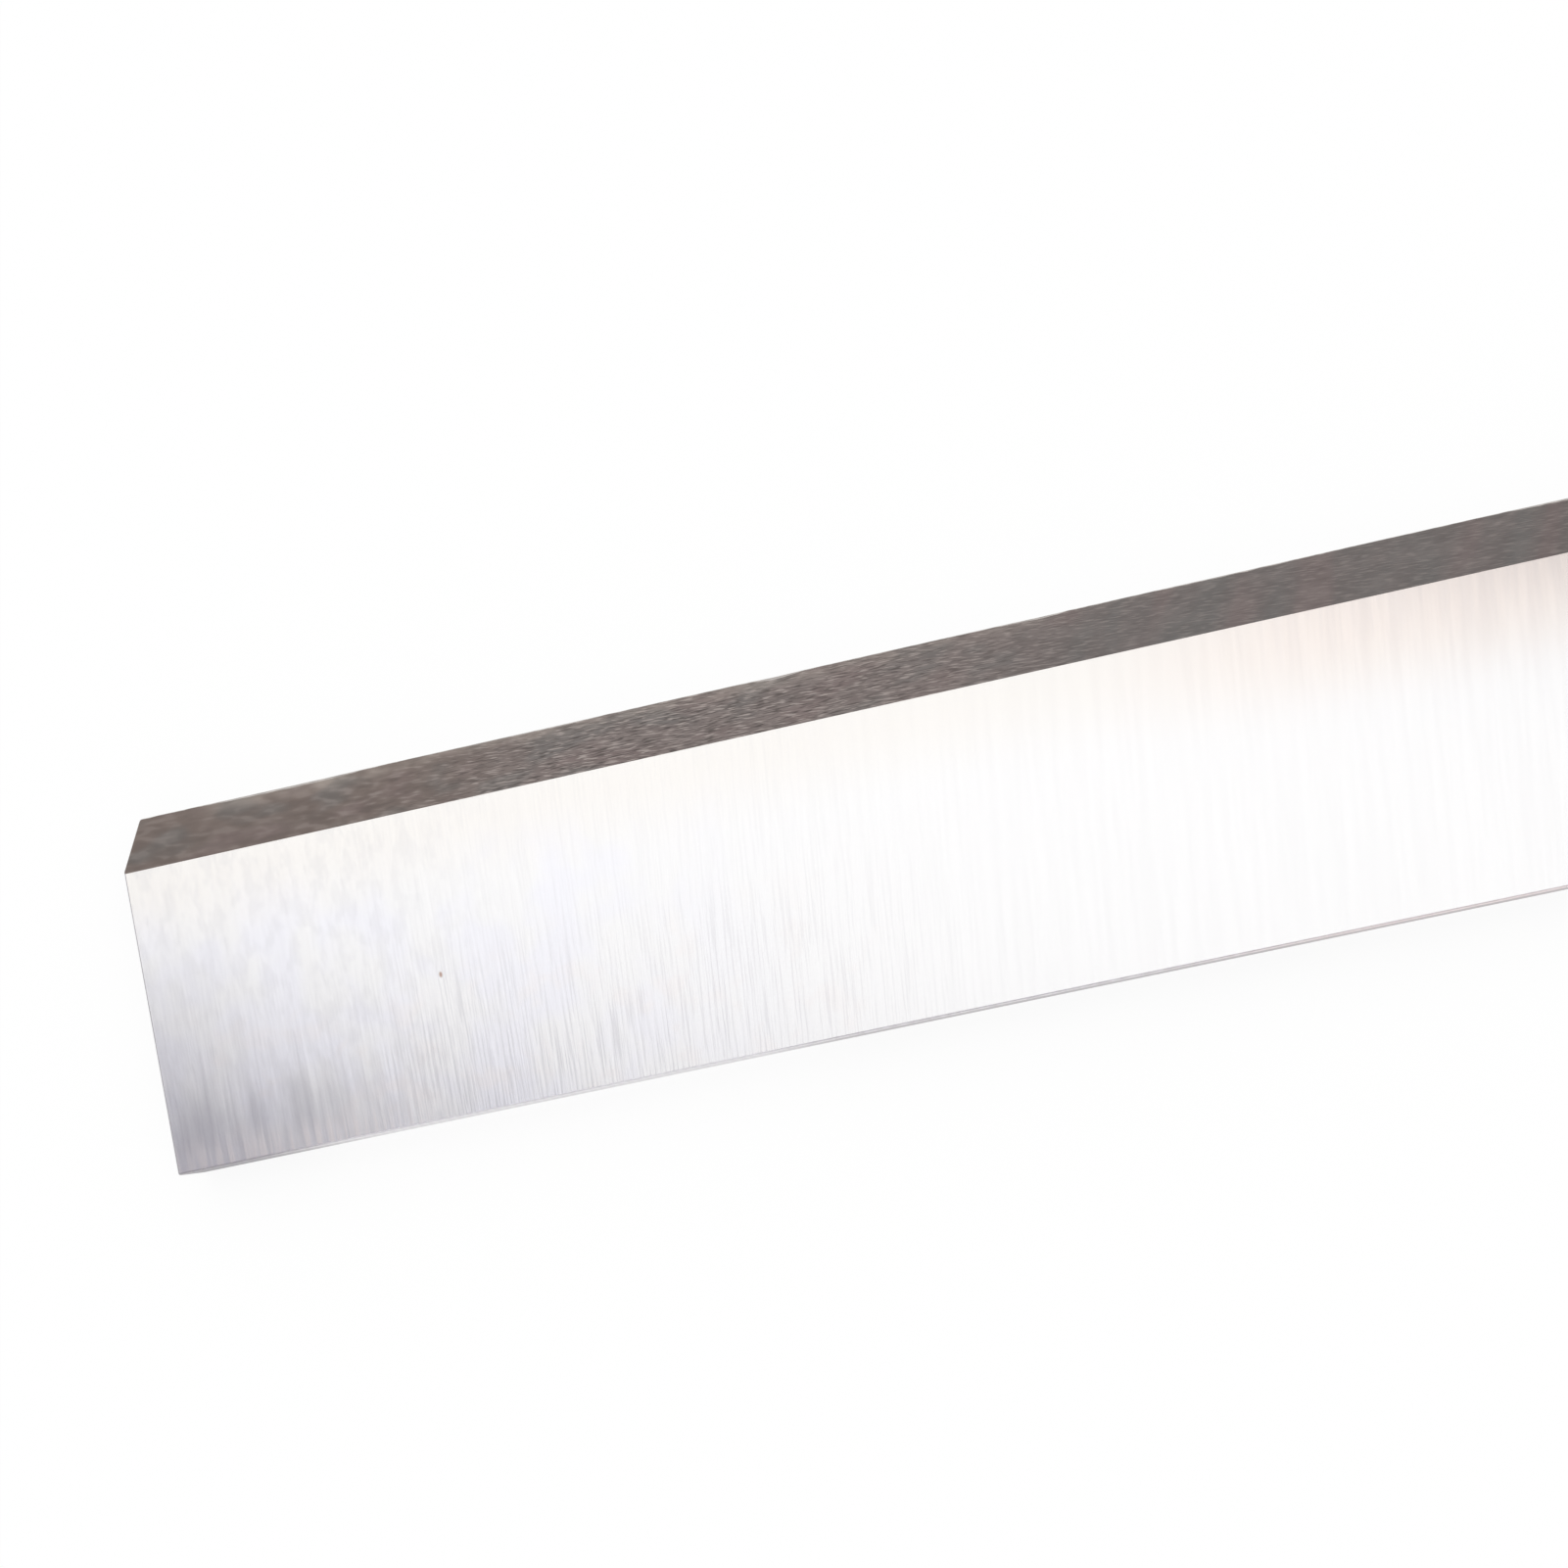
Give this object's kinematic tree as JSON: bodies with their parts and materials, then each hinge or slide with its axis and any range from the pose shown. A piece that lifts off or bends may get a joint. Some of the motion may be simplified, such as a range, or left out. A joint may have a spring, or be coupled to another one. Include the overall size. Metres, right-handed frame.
{
  "type": "planer knife",
  "caption": "Straight high-speed-steel planer knife: a long flat ground bar with a bevel along one edge, clamped in a cutter head by a gib.",
  "frame": {"origin": "on the back face, under the middle of the knife's box, with the knife lying on its back face", "axes": "+X along the knife's length, +Y from the spine to the cutting edge, +Z from the back face to the front face"},
  "size_m": [0.2032, 0.0254, 0.0032],
  "materials": {
    "ground_steel": "surface ground: bright with fine crosswise grinding marks on the faces, darker with short lengthwise scratches on the bevel"
  },
  "bodies": {
    "root": {"planer_knife": "ground_steel"}
  },
  "joints": []
}
